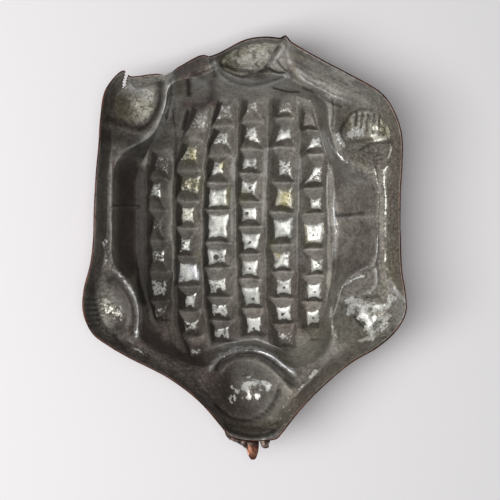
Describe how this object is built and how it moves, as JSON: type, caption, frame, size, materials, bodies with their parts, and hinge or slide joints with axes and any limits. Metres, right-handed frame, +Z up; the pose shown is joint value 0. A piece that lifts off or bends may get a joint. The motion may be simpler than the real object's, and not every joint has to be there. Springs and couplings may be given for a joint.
{
  "type": "tortoise-shaped copper mould",
  "caption": "Hand-raised copper mould shaped as a tortoise on its back: a tinned hollow with a studded shell, feet, head and tail, and a strap eye soldered under the rim.",
  "frame": {"origin": "centre of the bounding box on the plane of the table the mould lies on", "axes": "+Z up out of the hollow, +Y from the head with the hanging eye to the tail, +X to the right in the picture"},
  "size_m": [0.1809, 0.2346, 0.0513],
  "materials": {
    "tinned_copper": "raised copper sheet, tinned inside and tarnished to a patchy dark grey, bare aged copper outside",
    "rubbed_copper": "bare copper strap, rubbed bright on the bend and dark red where it is not touched",
    "dull_solder": "lead-tin solder, dull dark grey, rough and lumpy"
  },
  "bodies": {
    "root": {"mould_body": "tinned_copper", "hanging_loop": "rubbed_copper", "loop_solder_left": "dull_solder", "loop_solder_right": "dull_solder"}
  },
  "joints": []
}
